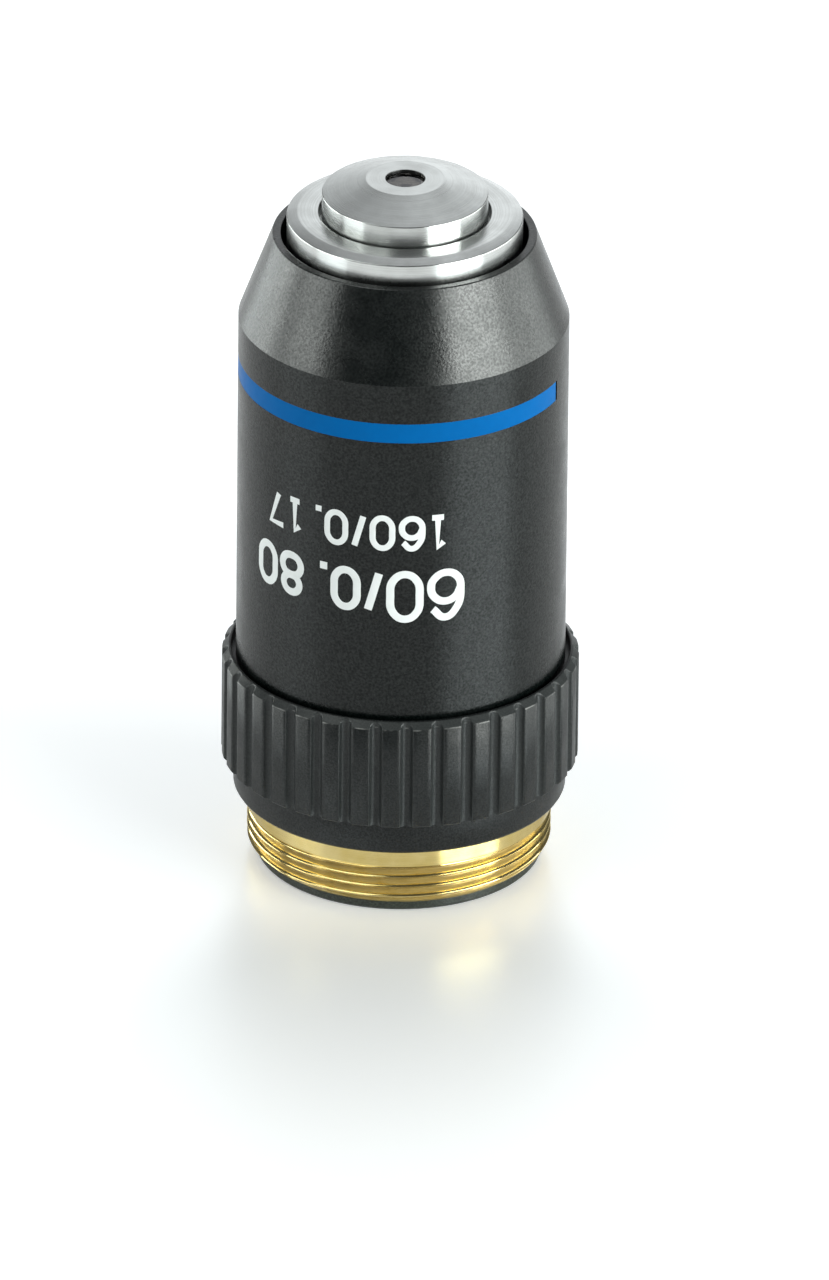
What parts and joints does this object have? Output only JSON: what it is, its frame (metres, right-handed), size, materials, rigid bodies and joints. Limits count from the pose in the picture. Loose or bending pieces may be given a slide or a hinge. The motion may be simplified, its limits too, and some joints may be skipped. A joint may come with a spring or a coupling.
{
  "type": "microscope objective",
  "caption": "Microscope objective with a mounting thread, grooved grip ring, black sleeve with a coloured band, and a sprung steel nose that carries the lenses.",
  "frame": {"origin": "centre of the rear face that the objective stands on", "axes": "+Z along the optical axis, from the rear face to the front lens; -Y towards the printed figures"},
  "size_m": [0.0238, 0.0238, 0.0494],
  "materials": {
    "mount_brass": "turned, bright",
    "rear_ring_black": "black oxide, satin",
    "grip_black": "black, satin",
    "sleeve_black": "black, fine matt",
    "band_enamel": "gloss enamel",
    "screw_steel": "plain",
    "spring_steel": "drawn wire",
    "barrel_steel": "turned, satin",
    "cap_steel": "turned, satin",
    "lens_glass": "polished",
    "cell_black": "black, matt"
  },
  "bodies": {
    "mount": {"mount_body": "mount_brass", "rear_ring": "rear_ring_black", "grip_ring": "grip_black", "outer_sleeve": "sleeve_black", "colour_band": "band_enamel", "guide_screw": "screw_steel", "return_spring": "spring_steel"},
    "nose": {"lens_barrel": "barrel_steel", "front_cell": "cap_steel", "front_lens": "lens_glass", "second_cell": "cell_black", "second_lens": "lens_glass", "second_retainer": "cell_black", "middle_cell": "cell_black", "middle_crown": "lens_glass", "middle_flint": "lens_glass", "cell_spacer": "cell_black", "aperture_stop": "cell_black", "rear_cell": "cell_black", "rear_crown": "lens_glass", "rear_flint": "lens_glass", "lock_ring": "cell_black"}
  },
  "joints": [
    {"name": "nose_slide", "type": "slide", "parent": "mount", "child": "nose", "axis": [0, 0, -1], "range_m": [0, 0.0025], "stiffness_N_per_m": 400, "springref_m": -0.003, "deforming": ["return_spring"]}
  ]
}
